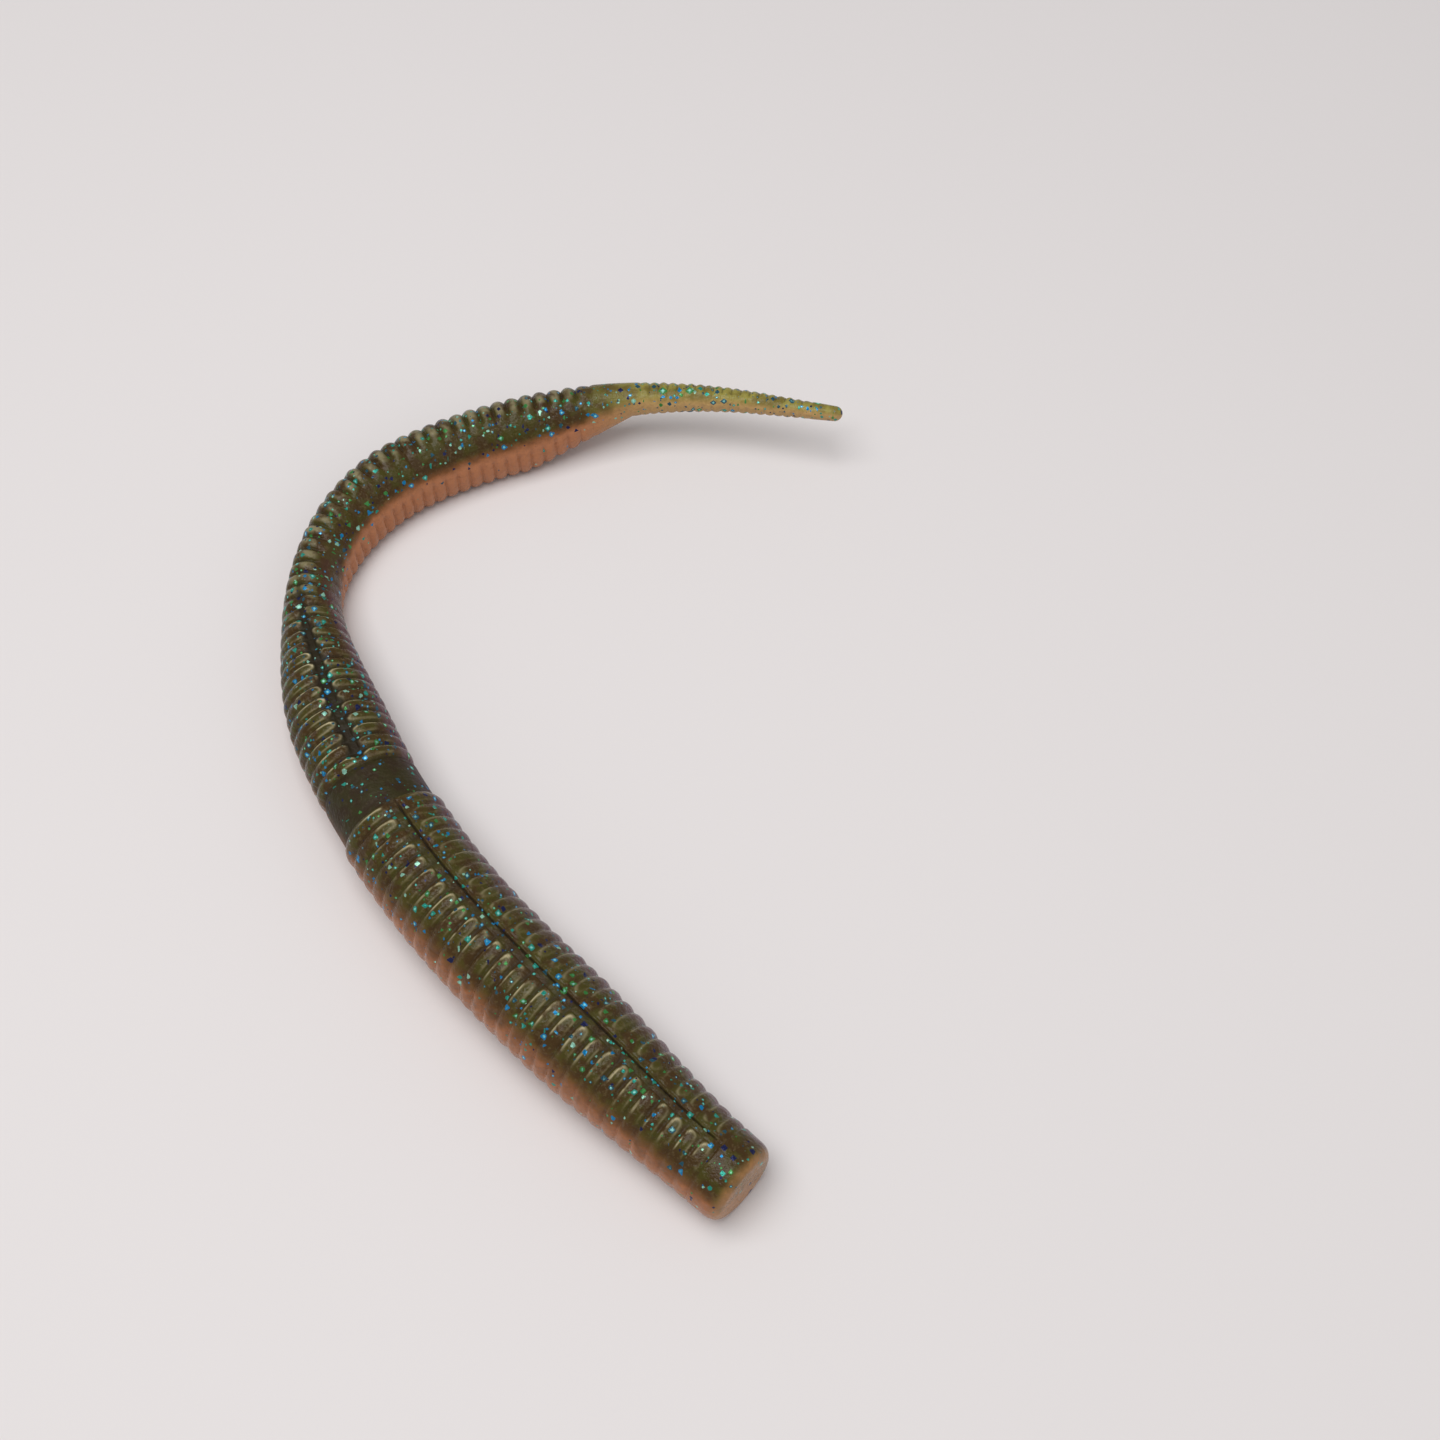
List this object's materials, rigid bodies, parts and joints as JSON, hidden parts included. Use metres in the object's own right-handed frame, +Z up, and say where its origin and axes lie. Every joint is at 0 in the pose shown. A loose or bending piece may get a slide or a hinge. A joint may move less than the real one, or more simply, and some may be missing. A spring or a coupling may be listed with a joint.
{
  "type": "soft plastic worm",
  "caption": "Ribbed soft plastic fishing worm, olive over orange, with a slotted back, a smooth band and a thin tail, lying in a J bend and flexing sideways along its length.",
  "frame": {"origin": "middle of the worm's box on the surface that it lies on", "axes": "+Z up, +Y from the nose towards the bend, +X to the right as seen from the nose end"},
  "size_m": [0.0595, 0.0937, 0.0102],
  "materials": {
    "olive_back": "glossy translucent plastisol with blue and teal flake",
    "terracotta_belly": "glossy plastisol",
    "amber_tail": "glossy translucent plastisol with flake"
  },
  "bodies": {
    "nose": {"nose_top": "olive_back", "nose_belly": "terracotta_belly"},
    "head_front": {"head_front_top": "olive_back", "head_front_belly": "terracotta_belly"},
    "head_mid": {"head_mid_top": "olive_back", "head_mid_belly": "terracotta_belly"},
    "head_rear": {"head_rear_top": "olive_back", "head_rear_belly": "terracotta_belly", "band_top": "olive_back", "band_belly": "terracotta_belly", "mid_front_top": "olive_back", "mid_front_belly": "terracotta_belly"},
    "mid_rear": {"mid_rear_top": "olive_back", "mid_rear_belly": "terracotta_belly"},
    "bend_entry": {"bend_entry_top": "olive_back", "bend_entry_belly": "terracotta_belly"},
    "bend_exit": {"bend_exit_top": "olive_back", "bend_exit_belly": "terracotta_belly"},
    "rear_front": {"rear_front_top": "olive_back", "rear_front_belly": "terracotta_belly"},
    "rear_mid": {"rear_mid_top": "olive_back", "rear_mid_belly": "terracotta_belly"},
    "stern": {"stern_top": "olive_back", "stern_belly": "terracotta_belly"},
    "tail_root": {"tail_root": "amber_tail"},
    "tail_front": {"tail_front": "amber_tail"},
    "tail_tip": {"tail_tip": "amber_tail"}
  },
  "joints": [
    {"name": "head_front_flex", "type": "hinge", "parent": "nose", "child": "head_front", "pos_m": [0.01304, -0.03958, 0.00382], "axis": [0, 0, 1], "range_deg": [-15, 15], "stiffness_Nm_per_rad": 0.004},
    {"name": "head_mid_flex", "type": "hinge", "parent": "head_front", "child": "head_mid", "pos_m": [0.0035, -0.03067, 0.00476], "axis": [0, 0, 1], "range_deg": [-15, 15], "stiffness_Nm_per_rad": 0.004},
    {"name": "head_rear_flex", "type": "hinge", "parent": "head_mid", "child": "head_rear", "pos_m": [-0.00571, -0.02143, 0.00485], "axis": [0, 0, 1], "range_deg": [-15, 15], "stiffness_Nm_per_rad": 0.004},
    {"name": "mid_rear_flex", "type": "hinge", "parent": "head_rear", "child": "mid_rear", "pos_m": [-0.02063, -0.00036, 0.00455], "axis": [0, 0, 1], "range_deg": [-15, 20], "stiffness_Nm_per_rad": 0.004},
    {"name": "bend_entry_flex", "type": "hinge", "parent": "mid_rear", "child": "bend_entry", "pos_m": [-0.02471, 0.00903, 0.00417], "axis": [0, 0, 1], "range_deg": [-12, 25], "stiffness_Nm_per_rad": 0.003},
    {"name": "bend_exit_flex", "type": "hinge", "parent": "bend_entry", "child": "bend_exit", "pos_m": [-0.02685, 0.01902, 0.00344], "axis": [0, 0, 1], "range_deg": [-10, 30], "stiffness_Nm_per_rad": 0.002},
    {"name": "rear_front_flex", "type": "hinge", "parent": "bend_exit", "child": "rear_front", "pos_m": [-0.02459, 0.0289, 0.00328], "axis": [0, 0, 1], "range_deg": [-10, 30], "stiffness_Nm_per_rad": 0.002},
    {"name": "rear_mid_flex", "type": "hinge", "parent": "rear_front", "child": "rear_mid", "pos_m": [-0.01776, 0.0364, 0.00358], "axis": [0, 0, 1], "range_deg": [-12, 25], "stiffness_Nm_per_rad": 0.002},
    {"name": "stern_flex", "type": "hinge", "parent": "rear_mid", "child": "stern", "pos_m": [-0.00859, 0.04094, 0.00358], "axis": [0, 0, 1], "range_deg": [-15, 20], "stiffness_Nm_per_rad": 0.002},
    {"name": "tail_root_flex", "type": "hinge", "parent": "stern", "child": "tail_root", "pos_m": [0.00125, 0.04401, 0.00474], "axis": [0, 0, 1], "range_deg": [-20, 25], "stiffness_Nm_per_rad": 0.0006},
    {"name": "tail_lift", "type": "hinge", "parent": "tail_root", "child": "tail_front", "pos_m": [0.00831, 0.04507, 0.00589], "axis": [-0.0003, -1, 0], "range_deg": [-10, 35], "stiffness_Nm_per_rad": 0.0006},
    {"name": "tail_tip_flex", "type": "hinge", "parent": "tail_front", "child": "tail_tip", "pos_m": [0.01881, 0.04424, 0.0063], "axis": [0, 0, 1], "range_deg": [-25, 25], "stiffness_Nm_per_rad": 0.0002}
  ]
}
